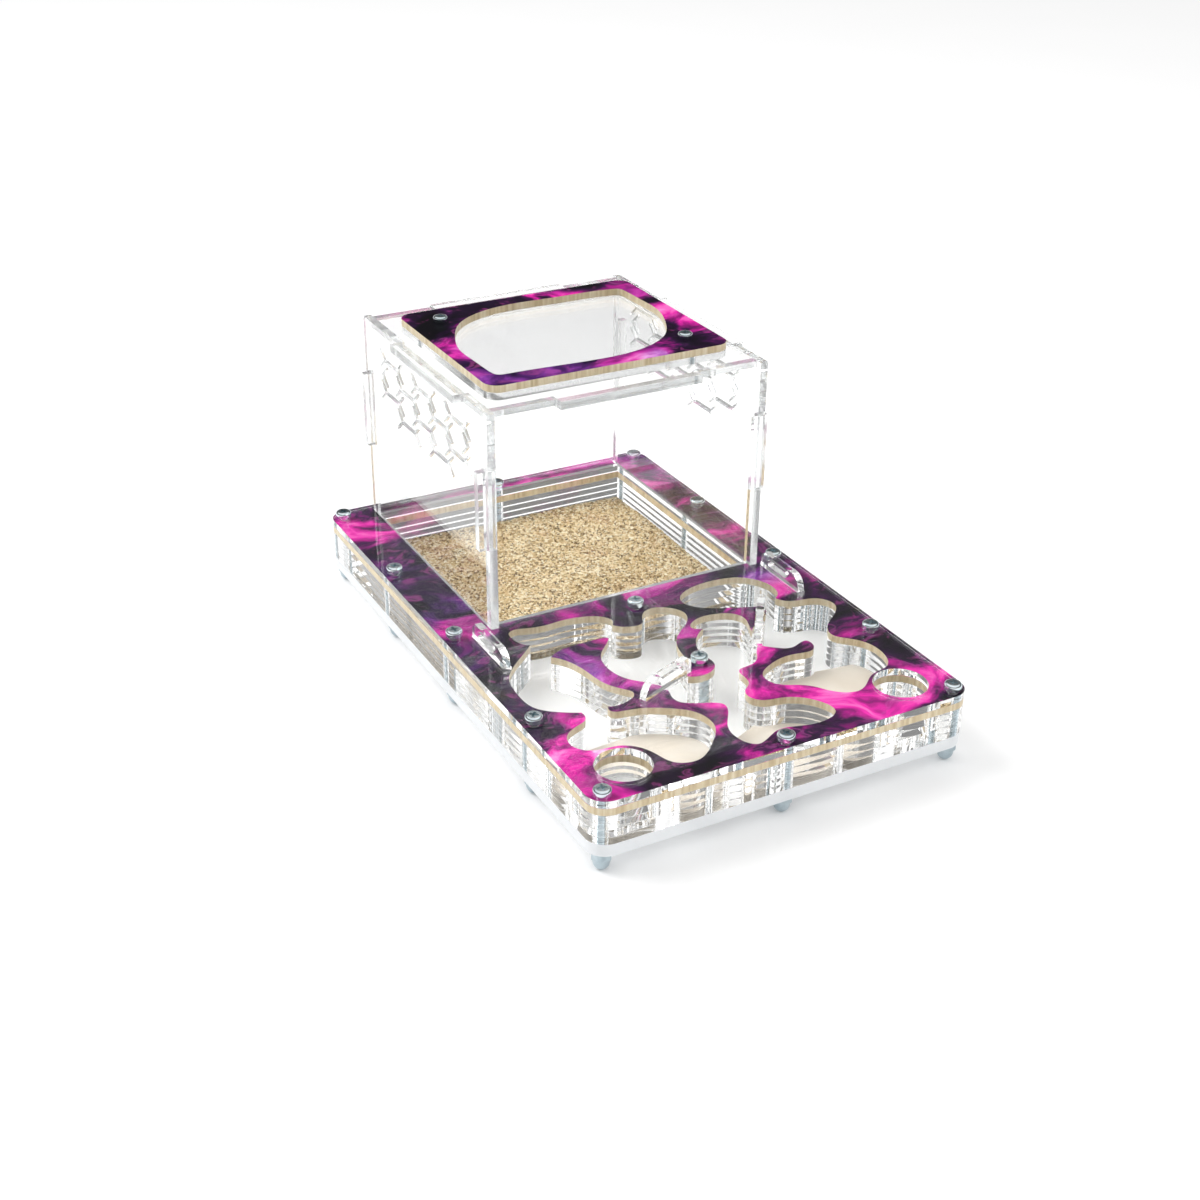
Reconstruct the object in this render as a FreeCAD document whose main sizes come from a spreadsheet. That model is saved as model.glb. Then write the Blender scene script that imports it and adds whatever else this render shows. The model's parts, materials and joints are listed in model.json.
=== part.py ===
import FreeCAD, Part
import math
import os

# Ant habitat: a stack of bolted sheets with a nest cut into it, and a box to roam in.
# Frame: +Z up, nest at -Y, box at +Y, origin on the floor under the middle of the base.
# Lengths are millimetres.

doc = FreeCAD.newDocument("AntHabitat")
sheet = doc.addObject("Spreadsheet::Sheet", "Sizes")

SIZES = {
    # Base stack
    "base_width": 160.0,
    "base_length": 253.0,
    "corner_radius": 8.0,
    "feet_height": 8.0,
    "base_thickness": 5.0,
    "layer_thickness": 3.0,
    "print_thickness": 3.0,
    "cover_thickness": 3.0,
    # Box
    "box_inner_width": 117.0,
    "box_inner_length": 111.2,
    "box_offset_x": 2.0,
    "box_front_y": 4.0,
    "wall_thickness": 3.5,
    "wall_height": 91.0,
    "wall_overhang": 2.5,
    "ear_top_drop": 24.0,
    "ear_height": 33.0,
    "tab_reach": 3.0,
    "top_tab_width": 62.5,
    "side_tab_centre_y": 53.0,
    "joint_play": 0.15,
    # Air slits in the side walls: a bar with two arms at each end
    "vent_bar": 13.5,
    "vent_reach": 4.7,
    "vent_rise": 4.2,
    "vent_slit": 1.0,
    "vent_column": 16.5,
    "vent_row": 14.3,
    "vent_level": 67.3,
    # Lid
    "lid_width": 107.0,
    "lid_length": 90.0,
    "lid_centre_y": 54.0,
    "lid_corner": 6.0,
    "ring_thickness": 3.0,
    "lid_thickness": 3.0,
    "plug_thickness": 3.0,
    "plug_margin": 6.0,
    "plug_play": 0.5,
    "window_width": 94.0,
    "window_length": 74.0,
    "lid_screw_x": 40.0,
    "lid_screw_y": 31.0,
    # Hardware
    "screw_diameter": 4.0,
    "screw_hole": 4.4,
    "head_diameter": 6.8,
    "head_height": 2.6,
    "nut_flats": 7.0,
    "nut_hex_height": 3.2,
    "thread_depth": 4.5,
    "thread_play": 0.05,
    "thread_end_room": 1.0,
    "lid_screw_diameter": 3.0,
    "lid_screw_hole": 3.3,
    "lid_head_diameter": 6.0,
    "lid_head_height": 2.2,
    "lid_nut_flats": 5.5,
    "lid_nut_height": 2.4,
    "edge_screw_x": 74.5,
    "end_screw_y": 121.0,
    "end_screw_shift": 1.25,
    "nest_screw_y": -69.0,
    "box_front_screw_y": 1.2,
    "box_side_screw_y": 62.0,
    # Nest fittings
    "port_diameter": 21.0,
    "port_x": 59.5,
    "port_y": -108.8,
    "wick_hole": 1.8,
    "wick_circle": 6.0,
    "gate_length": 28.0,
    "gate_thickness": 3.0,
    "gate_handle": 6.5,
    "handle_near_radius": 6.0,
    "handle_far_radius": 3.0,
    "gate_play": 0.3,
    "grip_slot_length": 14.0,
    "grip_slot_width": 3.0,
    "grip_slot_shift": 2.0,
    "side_gate_x": 67.0,
    "side_gate_y": -17.0,
    # Fill
    "sand_depth": 4.5,
    "gypsum_depth": 4.0,
    "fill_play": 0.3,
    "gypsum_play": 0.75,
}

for row, (name, value) in enumerate(SIZES.items(), start=1):
    sheet.set("A%d" % row, name)
    sheet.set("B%d" % row, str(value))
    sheet.setAlias("B%d" % row, name)
doc.recompute()


def size(name):
    return float(sheet.get(name))


# Levels of the stack, from the floor up
BASE_BOTTOM = size("feet_height")
LAYER_COUNT = 4
LAYERS_BOTTOM = BASE_BOTTOM + size("base_thickness")
PRINT_BOTTOM = LAYERS_BOTTOM + LAYER_COUNT * size("layer_thickness")
COVER_BOTTOM = PRINT_BOTTOM + size("print_thickness")
COVER_TOP = COVER_BOTTOM + size("cover_thickness")
WALL_TOP = COVER_TOP + size("wall_height")

# The box's inner faces
BOX_LEFT = size("box_offset_x") - size("box_inner_width") / 2
BOX_RIGHT = size("box_offset_x") + size("box_inner_width") / 2
BOX_FRONT = size("box_front_y")
BOX_REAR = BOX_FRONT + size("box_inner_length")
WALL = size("wall_thickness")
PLAY = size("joint_play")

# The nest was drawn on a 160 by 253 base, with the box's front wall at 4.
# It is stretched to the room that the sizes above leave for it.
DRAWN_HALF_WIDTH = 80.0
DRAWN_FRONT = -126.5
DRAWN_REAR = 4.0


def nest_xy(x, y):
    front = -size("base_length") / 2
    along = (y - DRAWN_FRONT) / (DRAWN_REAR - DRAWN_FRONT)
    across = x * size("base_width") / 2 / DRAWN_HALF_WIDTH
    return across, front + along * (BOX_FRONT - front)


# The edge of the nest's rooms and passages, in stretches that meet at corners.
# Each stretch is one smooth curve through its points, and the last one closes the loop.
NEST_STRETCHES = [
    # Left rear room, along the divider
    [(-50.6, -17.8), (-54.6, -11.0), (-53.4, -5.0), (-42, -6.1), (-30.3, -5.8),
     (-22.6, -6.9), (-15.3, -10.3), (-12.8, -14.4), (-14.5, -18.1)],
    # Finger that holds the divider's screw, then the left side of the long rib
    [(-14.5, -18.1), (-8.7, -22.8), (-3.7, -22.8), (0, -16.9), (6, -13.4), (13, -16.7),
     (16.2, -22.8), (13.8, -29.0), (4.1, -37.8), (-0.1, -45), (-2.2, -55), (-8.7, -65.6)],
    # Tip of the rib, round its screw
    [(-8.7, -65.6), (-4.8, -67.9), (0.2, -67.8), (5.5, -63.8), (5.6, -53), (9.1, -43.9),
     (16.1, -37.5)],
    # Middle room, rear side
    [(16.1, -37.5), (12.4, -34.4), (16.8, -30.0), (24.7, -29.1), (32.4, -31.9),
     (35.3, -36.7), (34.1, -42.8), (32.3, -48.2)],
    # Curved finger, then the right rear room
    [(32.3, -48.2), (37.5, -43.7), (44.1, -39.6), (46.8, -34.4), (41.5, -30.6),
     (30.2, -25.6), (21.3, -18.9), (20.4, -12.6), (25.8, -7.2), (41.3, -4.6),
     (52.4, -7.2), (59.7, -17.2), (59.6, -25.0), (55.6, -29.2)],
    # Right rooms, and the finger between them and the middle room
    [(55.6, -29.2), (60.2, -34.4), (71.0, -37.5), (74.4, -44.0), (70.5, -50.6),
     (61.9, -57.8), (59.0, -65.0), (64.7, -72.2), (68.6, -82.8), (62.8, -95.2),
     (56.4, -96.6), (50.9, -100.2), (44.1, -104.4), (36.9, -102.2), (28.0, -92.0),
     (18.4, -85.6), (17.6, -79.0), (24.7, -73.1), (37, -70.8), (47.0, -70.2),
     (47.6, -64.3), (39.1, -66), (33.6, -63.3), (28.5, -58.5)],
    # Front middle room, and the island's right side
    [(28.5, -58.5), (24.4, -63.6), (19.7, -69.2), (11.5, -71.6), (10.3, -80.0),
     (5.0, -86.3), (6.0, -92.0), (15.8, -95.6), (25.8, -103.3), (28.0, -111.5),
     (19.0, -115.9), (9.1, -114.2), (1.3, -113.3), (-9.8, -117.6), (-14.2, -109),
     (-10.4, -98.5), (-6.2, -89.5), (-13.1, -85), (-20.8, -78.5), (-19.6, -69.6),
     (-28.6, -58), (-32, -47), (-28.6, -35.5), (-21.2, -26.4), (-30.3, -25.6),
     (-40.5, -26.1), (-47.6, -29.6)],
    # Island's left side
    [(-47.6, -29.6), (-42.4, -37.5), (-39.5, -51.1), (-36.5, -60), (-32.2, -67.4),
     (-37.5, -71.4), (-45.3, -71.0)],
    # Left front room
    [(-45.3, -71.0), (-45.6, -74.6), (-38.6, -76.8), (-26.4, -82.2), (-18.5, -89.2),
     (-17.0, -100), (-24.2, -110), (-34.6, -116.6), (-41.4, -114.4), (-45.9, -103.9),
     (-54.2, -95.8), (-65.0, -93.8), (-69.2, -86.5), (-63.7, -78.6), (-57.4, -75.9),
     (-55.7, -70.3)],
    # Left passage
    [(-55.7, -70.3), (-61.4, -67.2), (-69.8, -59), (-70.9, -48), (-69.2, -37.5),
     (-62.8, -28.9), (-50.6, -17.8)],
]

# How far the arcs of the nest's edge may lie from the drawn curves
ARC_TOLERANCE = 0.12

# Screws inside the nest: on the finger behind and on the tip of the rib
INNER_SCREWS = [(1.0, -9.6), (1.0, -59.4)]

# Places of the gates: middle of the foot, and the turn from the X direction in degrees
INNER_GATES = {
    "gate_middle": (-19.5, -69.2, 23.0),
    "gate_inner": (36.0, -47.5, 55.0),
}

# Rooms with a gypsum floor: the stretch of the nest's edge, and its first and last point
GYPSUM_EDGES = {
    "gypsum_front_left": (8, 2, 13),
    "gypsum_front_middle": (6, 6, 15),
    "gypsum_right": (5, 7, 19),
}

checked = []


def keep(label, item):
    """Notes an object as a finished piece under the name of its node."""
    item.Label = label
    checked.append((label, item))
    return item


def origin_plane(body, role):
    for feature in body.Origin.OriginFeatures:
        if feature.Role == role:
            return feature
    raise ValueError(role)


def new_sketch(body, name, role="XY_Plane"):
    sketch = body.newObject("Sketcher::SketchObject", name)
    sketch.AttachmentSupport = [(origin_plane(body, role), "")]
    sketch.MapMode = "FlatFace"
    return sketch


def vec(x, y, z=0.0):
    return FreeCAD.Vector(x, y, z)


def add_polygon(sketch, points):
    for start, end in zip(points, points[1:] + points[:1]):
        sketch.addGeometry(Part.LineSegment(vec(*start), vec(*end)), False)


def add_rounded_rectangle(sketch, left, right, front, rear, radius):
    """Four sides and four quarter arcs."""
    sides = [
        ((left + radius, front), (right - radius, front)),
        ((right, front + radius), (right, rear - radius)),
        ((right - radius, rear), (left + radius, rear)),
        ((left, rear - radius), (left, front + radius)),
    ]
    for start, end in sides:
        sketch.addGeometry(Part.LineSegment(vec(*start), vec(*end)), False)
    centres = [
        (right - radius, front + radius, 270),
        (right - radius, rear - radius, 0),
        (left + radius, rear - radius, 90),
        (left + radius, front + radius, 180),
    ]
    for x, y, turn in centres:
        circle = Part.Circle(vec(x, y), vec(0, 0, 1), radius)
        arc = Part.ArcOfCircle(circle, math.radians(turn), math.radians(turn + 90))
        sketch.addGeometry(arc, False)


def add_circle(sketch, x, y, diameter):
    sketch.addGeometry(Part.Circle(vec(x, y), vec(0, 0, 1), diameter / 2), False)


def add_slot(sketch, x, y, length, width, turn):
    """A rectangle turned about its middle."""
    angle = math.radians(turn)
    corners = []
    for along, across in ((-1, -1), (1, -1), (1, 1), (-1, 1)):
        u = along * length / 2
        v = across * width / 2
        corners.append((x + u * math.cos(angle) - v * math.sin(angle),
                        y + u * math.sin(angle) + v * math.cos(angle)))
    add_polygon(sketch, corners)


def smooth_curve(drawn):
    """One smooth curve through drawn points of the nest."""
    curve = Part.BSplineCurve()
    curve.interpolate([vec(*nest_xy(x, y)) for x, y in drawn])
    return curve


def nest_arcs():
    """The nest's edge as arcs, which cut and mesh more simply than free curves."""
    arcs = []
    for stretch in NEST_STRETCHES:
        arcs += smooth_curve(stretch).toBiArcs(ARC_TOLERANCE)
    return arcs


def screw_places():
    side = size("edge_screw_x")
    end = size("end_screw_y")
    places = []
    nest = nest_xy(0, size("nest_screw_y"))[1]
    for y in (-end, nest, size("box_front_screw_y"), size("box_side_screw_y"), end):
        places.append((-side, y))
        places.append((side, y))
    places.append((0.0, -end))
    places.append((0.0, end + size("end_screw_shift")))
    for x, y in INNER_SCREWS:
        places.append(nest_xy(x, y))
    return places


def gate_places():
    places = {
        "gate_left": (-size("side_gate_x"), nest_xy(0, size("side_gate_y"))[1], 90.0),
        "gate_right": (size("side_gate_x"), nest_xy(0, size("side_gate_y"))[1], 90.0),
    }
    for name, (x, y, turn) in INNER_GATES.items():
        places[name] = nest_xy(x, y) + (turn,)
    return places


def pad(body, sketch, name, length_cell, bottom):
    feature = body.newObject("PartDesign::Pad", name)
    feature.Profile = sketch
    feature.setExpression("Length", "Sizes." + length_cell)
    sketch.Visibility = False
    body.Placement = FreeCAD.Placement(vec(0, 0, bottom), FreeCAD.Rotation())
    doc.recompute()
    return feature


def pocket_through(body, sketch, name):
    """Cuts the sketch's outline through the whole sheet and checks that it did."""
    doc.recompute()
    before = len(body.Shape.Faces)
    feature = body.newObject("PartDesign::Pocket", name)
    feature.Profile = sketch
    feature.Type = 1
    feature.Midplane = True
    doc.recompute()
    if len(body.Shape.Faces) <= before:
        raise RuntimeError(name + " cut nothing")
    return feature


def new_sheet_body(label, thickness_cell, bottom):
    """A rounded sheet of the base stack with its screw holes."""
    body = doc.addObject("PartDesign::Body", "Body_" + label)
    outline = new_sketch(body, "Outline_" + label)
    half_width = size("base_width") / 2
    half_length = size("base_length") / 2
    add_rounded_rectangle(outline, -half_width, half_width, -half_length, half_length,
                          size("corner_radius"))
    pad(body, outline, "Pad_" + label, thickness_cell, bottom)
    holes = new_sketch(body, "Holes_" + label)
    for x, y in screw_places():
        add_circle(holes, x, y, size("screw_hole"))
    pocket_through(body, holes, "ScrewHoles_" + label)
    return keep(label, body)


def cut_box_opening(body, label):
    opening = new_sketch(body, "BoxOpening_" + label)
    add_polygon(opening, [(BOX_LEFT, BOX_FRONT), (BOX_RIGHT, BOX_FRONT),
                          (BOX_RIGHT, BOX_REAR), (BOX_LEFT, BOX_REAR)])
    pocket_through(body, opening, "CutBox_" + label)


def cut_nest(body, label):
    opening = new_sketch(body, "Nest_" + label)
    for arc in nest_arcs():
        opening.addGeometry(arc, False)
    pocket_through(body, opening, "CutNest_" + label)


def cut_gates(body, label):
    slots = new_sketch(body, "Slots_" + label)
    for x, y, turn in gate_places().values():
        add_slot(slots, x, y, size("gate_length") + 2 * size("gate_play"),
                 size("gate_thickness") + 2 * size("gate_play"), turn)
    pocket_through(body, slots, "CutSlots_" + label)


def cut_ports(body, label):
    ports = new_sketch(body, "Ports_" + label)
    for side in (-1, 1):
        x, y = nest_xy(side * size("port_x"), size("port_y"))
        add_circle(ports, x, y, size("port_diameter"))
    pocket_through(body, ports, "CutPorts_" + label)


def cut_wicks(body, label):
    """Small holes in the floor of each port: one in the middle and six round it."""
    holes = new_sketch(body, "Wicks_" + label)
    for side in (-1, 1):
        x, y = nest_xy(side * size("port_x"), size("port_y"))
        add_circle(holes, x, y, size("wick_hole"))
        for step in range(6):
            angle = math.radians(60 * step)
            add_circle(holes, x + size("wick_circle") * math.cos(angle),
                       y + size("wick_circle") * math.sin(angle), size("wick_hole"))
    pocket_through(body, holes, "CutWicks_" + label)


def make_stack():
    new_sheet_body("base_plate", "base_thickness", BASE_BOTTOM)
    for index in range(LAYER_COUNT):
        label = "nest_layer_%d" % (index + 1)
        body = new_sheet_body(label, "layer_thickness",
                              LAYERS_BOTTOM + index * size("layer_thickness"))
        cut_box_opening(body, label)
        cut_nest(body, label)
        cut_gates(body, label)
        if index >= LAYER_COUNT - 2:
            cut_ports(body, label)
        if index == LAYER_COUNT - 3:
            cut_wicks(body, label)
    body = new_sheet_body("print_panel", "print_thickness", PRINT_BOTTOM)
    cut_box_opening(body, "print_panel")
    cut_nest(body, "print_panel")
    cut_gates(body, "print_panel")
    cut_ports(body, "print_panel")
    body = new_sheet_body("cover_plate", "cover_thickness", COVER_BOTTOM)
    cut_box_opening(body, "cover_plate")
    cut_gates(body, "cover_plate")
    cut_ports(body, "cover_plate")


def make_wall(label, points, origin, turn, cuts=()):
    """An upright sheet: drawn flat as (along, up), stood up and moved to its place."""
    body = doc.addObject("PartDesign::Body", "Body_" + label)
    outline = new_sketch(body, "Outline_" + label)
    add_polygon(outline, points)
    pad(body, outline, "Pad_" + label, "wall_thickness", 0.0)
    if cuts:
        holes = new_sketch(body, "Openings_" + label)
        for corners in cuts:
            add_polygon(holes, corners)
        pocket_through(body, holes, "CutOpenings_" + label)
    upright = FreeCAD.Rotation(vec(1, 0, 0), 90)
    heading = FreeCAD.Rotation(vec(0, 0, 1), turn)
    body.Placement = FreeCAD.Placement(vec(*origin), heading.multiply(upright))
    return keep(label, body)


def notched_top(length_from, length_to, centre, height):
    """Top edge of a wall, right to left, with the notch for the top panel's tab."""
    half = size("top_tab_width") / 2 + PLAY
    low = height - WALL - PLAY
    return [(length_to, height), (centre + half, height), (centre + half, low),
            (centre - half, low), (centre - half, height), (length_from, height)]


def make_cross_wall(label, front_face):
    """Front or rear wall: between the side walls, with an ear through each of them."""
    height = size("wall_height")
    centre = (BOX_LEFT + BOX_RIGHT) / 2
    ear_top = height - size("ear_top_drop")
    ear_low = ear_top - size("ear_height")
    ear = WALL + size("tab_reach")
    points = [(BOX_LEFT, 0), (BOX_RIGHT, 0), (BOX_RIGHT, ear_low), (BOX_RIGHT + ear, ear_low),
              (BOX_RIGHT + ear, ear_top), (BOX_RIGHT, ear_top)]
    points += notched_top(BOX_LEFT, BOX_RIGHT, centre, height)
    points += [(BOX_LEFT, ear_top), (BOX_LEFT - ear, ear_top), (BOX_LEFT - ear, ear_low),
               (BOX_LEFT, ear_low)]
    return make_wall(label, points, (0, front_face + WALL, COVER_TOP), 0.0)


def make_side_wall(label, left_face):
    """Left or right wall: runs past the front and rear walls, and their ears pass it."""
    height = size("wall_height")
    overhang = size("wall_overhang")
    front = BOX_FRONT - WALL - overhang
    rear = BOX_REAR + WALL + overhang
    points = [(front, 0), (rear, 0)]
    points += notched_top(front, rear, size("side_tab_centre_y"), height)
    ear_top = height - size("ear_top_drop") + PLAY
    ear_low = ear_top - size("ear_height") - 2 * PLAY
    cuts = []
    for near in (BOX_FRONT - WALL, BOX_REAR):
        cuts.append([(near - PLAY, ear_low), (near + WALL + PLAY, ear_low),
                     (near + WALL + PLAY, ear_top), (near - PLAY, ear_top)])
    return make_wall(label, points, (left_face, 0, COVER_TOP), 90.0, cuts + vent_slits())


def vent_end(turned):
    """Two arms at one end of a slit, from the upper arm round to the lower one."""
    half = size("vent_slit") / 2
    reach = size("vent_reach")
    rise = size("vent_rise")
    arm = math.hypot(reach, rise)
    across = (half * rise / arm, half * reach / arm)
    vertex = size("vent_bar") / 2
    side = [(vertex + reach - across[0], rise + across[1]),
            (vertex + reach + across[0], rise - across[1]),
            (vertex + half * arm / rise, 0),
            (vertex + reach + across[0], across[1] - rise),
            (vertex + reach - across[0], -rise - across[1])]
    if turned:
        side = [(-x, -y) for x, y in side]
    return side


def vent_bar_corners(turned):
    """Where the bar's edges meet the outer edges of the arms at one end."""
    half = size("vent_slit") / 2
    reach = size("vent_reach")
    rise = size("vent_rise")
    vertex = size("vent_bar") / 2 - half * (math.hypot(reach, rise) - reach) / rise
    if turned:
        return [(-vertex, -half), (-vertex, half)]
    return [(vertex, half), (vertex, -half)]


def vent_slits():
    """Five columns of whole slits, and half a slit at each end of the pattern."""
    centre = (BOX_FRONT + BOX_REAR) / 2
    row = size("vent_row")
    near = vent_bar_corners(False)
    far = vent_bar_corners(True)
    whole = near[:1] + vent_end(False) + near[1:] + far[:1] + vent_end(True) + far[1:]
    tip = size("vent_bar") / 2 - size("vent_slit") / 2 * math.hypot(
        size("vent_reach"), size("vent_rise")) / size("vent_rise")
    slits = []
    for column in range(-2, 3):
        lift = 0.25 if column % 2 else 0.75
        for level in (lift, lift - 1):
            middle = (centre + column * size("vent_column"), size("vent_level") + level * row)
            slits.append([(middle[0] + x, middle[1] + y) for x, y in whole])
    for turned in (False, True):
        side = 1 if turned else -1
        middle = (centre + side * 3 * size("vent_column"), size("vent_level") + 0.25 * row)
        half = vent_end(turned) + [(-tip if turned else tip, 0)]
        slits.append([(middle[0] + x, middle[1] + y) for x, y in half])
    return slits


def make_top_panel():
    """The box's fixed top, with a tab on each side and the opening under the lid."""
    body = doc.addObject("PartDesign::Body", "Body_arena_top_panel")
    outline = new_sketch(body, "Outline_top")
    half = size("top_tab_width") / 2
    out = WALL + size("tab_reach")
    middle_x = (BOX_LEFT + BOX_RIGHT) / 2
    middle_y = size("side_tab_centre_y")
    add_polygon(outline, [
        (BOX_LEFT, BOX_FRONT), (middle_x - half, BOX_FRONT), (middle_x - half, BOX_FRONT - out),
        (middle_x + half, BOX_FRONT - out), (middle_x + half, BOX_FRONT), (BOX_RIGHT, BOX_FRONT),
        (BOX_RIGHT, middle_y - half), (BOX_RIGHT + out, middle_y - half),
        (BOX_RIGHT + out, middle_y + half), (BOX_RIGHT, middle_y + half), (BOX_RIGHT, BOX_REAR),
        (middle_x + half, BOX_REAR), (middle_x + half, BOX_REAR + out),
        (middle_x - half, BOX_REAR + out), (middle_x - half, BOX_REAR), (BOX_LEFT, BOX_REAR),
        (BOX_LEFT, middle_y + half), (BOX_LEFT - out, middle_y + half),
        (BOX_LEFT - out, middle_y - half), (BOX_LEFT, middle_y - half)])
    pad(body, outline, "Pad_top", "wall_thickness", WALL_TOP - WALL)
    opening = new_sketch(body, "Opening_top")
    add_lid_outline(opening, size("plug_margin") - size("plug_play"))
    pocket_through(body, opening, "CutOpening_top")
    return keep("arena_top_panel", body)


def add_lid_outline(sketch, inset):
    """The lid's rounded outline, drawn in by the inset."""
    half_x = size("lid_width") / 2 - inset
    half_y = size("lid_length") / 2 - inset
    centre_y = size("lid_centre_y")
    add_rounded_rectangle(sketch, -half_x, half_x, centre_y - half_y, centre_y + half_y,
                          size("lid_corner"))


def lid_screw_places():
    """Two screws on one diagonal of the lid."""
    x = size("lid_screw_x")
    y = size("lid_screw_y")
    centre_y = size("lid_centre_y")
    return [(-x, centre_y + y), (x, centre_y - y)]


def make_lid_sheet(label, thickness_cell, bottom, inset):
    body = doc.addObject("PartDesign::Body", "Body_" + label)
    outline = new_sketch(body, "Outline_" + label)
    add_lid_outline(outline, inset)
    pad(body, outline, "Pad_" + label, thickness_cell, bottom)
    holes = new_sketch(body, "Holes_" + label)
    for x, y in lid_screw_places():
        add_circle(holes, x, y, size("lid_screw_hole"))
    pocket_through(body, holes, "ScrewHoles_" + label)
    return keep(label, body)


def make_lid():
    make_lid_sheet("lid_plug", "plug_thickness", WALL_TOP - size("plug_thickness"),
                   size("plug_margin"))
    make_lid_sheet("lid_plate", "lid_thickness", WALL_TOP, 0.0)
    ring_bottom = WALL_TOP + size("lid_thickness")
    body = make_lid_sheet("lid_ring", "ring_thickness", ring_bottom, 0.0)
    window = new_sketch(body, "Window_ring")
    add_window(window)
    pocket_through(body, window, "CutWindow_ring")


def add_window(sketch):
    """The ring's window: straight sides with two corners cut back round the screws."""
    half_x = size("window_width") / 2
    half_y = size("window_length") / 2
    centre_y = size("lid_centre_y")
    outline = WINDOW_POINTS + [(-x, -y) for x, y in WINDOW_POINTS]
    points = [vec(x * half_x, centre_y + y * half_y) for x, y in outline]
    curve = Part.BSplineCurve()
    curve.interpolate(points, PeriodicFlag=True)
    sketch.addGeometry(curve, False)


# Half of the window's outline, in halves of its width and length, from its front left
# corner along its left and rear sides. The other half is this one turned round.
WINDOW_POINTS = [(-0.90, -0.945), (-0.965, -0.91), (-0.985, -0.82), (-0.995, -0.5),
                 (-1.0, -0.13), (-0.9, 0.3), (-0.73, 0.665), (-0.466, 0.895),
                 (-0.164, 0.99), (0.364, 0.98)]


def screw_shape(diameter, head_diameter, head_height, length):
    """A pan head with a cross recess on a plain shank, its head resting on z = 0."""
    edge = head_diameter / 2
    rim = vec(edge, 0, head_height * 0.55)
    shoulder = vec(edge * 0.92, 0, head_height * 0.86)
    crown = vec(edge * 0.66, 0, head_height)
    profile = [crown, vec(0, 0, head_height), vec(0, 0, -length), vec(diameter / 2, 0, -length),
               vec(diameter / 2, 0, 0), vec(edge, 0, 0), rim]
    edges = [Part.Arc(rim, shoulder, crown).toShape()]
    for start, end in zip(profile, profile[1:]):
        edges.append(Part.LineSegment(start, end).toShape())
    solid = Part.Face(Part.Wire(edges)).revolve(vec(0, 0, 0), vec(0, 0, 1), 360)
    arm = head_diameter * 0.52
    slit = head_diameter * 0.13
    depth = head_height * 0.6
    bar = Part.makeBox(arm, slit, depth, vec(-arm / 2, -slit / 2, head_height - depth))
    cross = Part.makeBox(slit, arm, depth, vec(-slit / 2, -arm / 2, head_height - depth))
    return solid.cut(bar.fuse(cross))


def hexagon_prism(flats, height):
    radius = flats / math.sqrt(3)
    corners = [vec(radius * math.cos(math.radians(60 * k)),
                   radius * math.sin(math.radians(60 * k))) for k in range(7)]
    return Part.Face(Part.makePolygon(corners)).extrude(vec(0, 0, height))


def cap_nut_shape(flats, hex_height, height, hole, depth):
    """A domed nut, dome down, with its blind hole open at the top and its top at z = 0."""
    prism = hexagon_prism(flats, hex_height)
    prism.translate(vec(0, 0, -hex_height))
    dome_height = height - hex_height
    neck = flats * 0.46
    straight = dome_height * 0.3
    tip = flats * 0.16
    start = vec(neck, 0, -hex_height - straight)
    end = vec(tip, 0, -height)
    bulge = vec(neck * 0.8, 0, -hex_height - straight - (dome_height - straight) * 0.62)
    edges = [Part.LineSegment(vec(0, 0, -height), end).toShape(),
             Part.Arc(end, bulge, start).toShape(),
             Part.LineSegment(start, vec(neck, 0, -hex_height)).toShape(),
             Part.LineSegment(vec(neck, 0, -hex_height), vec(0, 0, -hex_height)).toShape(),
             Part.LineSegment(vec(0, 0, -hex_height), vec(0, 0, -height)).toShape()]
    dome = Part.Face(Part.Wire(edges)).revolve(vec(0, 0, 0), vec(0, 0, 1), 360)
    bore = Part.makeCylinder(hole / 2, depth, vec(0, 0, -depth))
    return prism.fuse(dome).removeSplitter().cut(bore)


def make_group(label, shape, places, level):
    """One node that holds a copy of a fastener at each place."""
    copies = []
    for x, y in places:
        copy = shape.copy()
        copy.translate(vec(x, y, level))
        copies.append(copy)
    item = doc.addObject("Part::Feature", "Group_" + label)
    item.Shape = Part.makeCompound(copies)
    return keep(label, item)


def make_fasteners():
    stack = COVER_TOP - BASE_BOTTOM
    grip = size("thread_depth")
    screw = screw_shape(size("screw_diameter"), size("head_diameter"), size("head_height"),
                        stack + grip)
    make_group("base_screws", screw, screw_places(), COVER_TOP)
    hole = size("screw_diameter") + 2 * size("thread_play")
    nut = cap_nut_shape(size("nut_flats"), size("nut_hex_height"), size("feet_height"), hole,
                        grip + size("thread_end_room"))
    make_group("base_nuts", nut, screw_places(), BASE_BOTTOM)
    lid_top = WALL_TOP + size("lid_thickness") + size("ring_thickness")
    lid_stack = size("lid_thickness") + size("ring_thickness") + size("plug_thickness")
    lid_screw = screw_shape(size("lid_screw_diameter"), size("lid_head_diameter"),
                            size("lid_head_height"),
                            lid_stack + size("lid_nut_height") + size("thread_end_room"))
    make_group("lid_screws", lid_screw, lid_screw_places(), lid_top)
    lid_hole = size("lid_screw_diameter") + 2 * size("thread_play")
    height = size("lid_nut_height")
    lid_nut = hexagon_prism(size("lid_nut_flats"), height)
    lid_nut = lid_nut.cut(Part.makeCylinder(lid_hole / 2, height))
    lid_nut.translate(vec(0, 0, -height))
    make_group("lid_nuts", lid_nut, lid_screw_places(), WALL_TOP - size("plug_thickness"))


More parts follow.
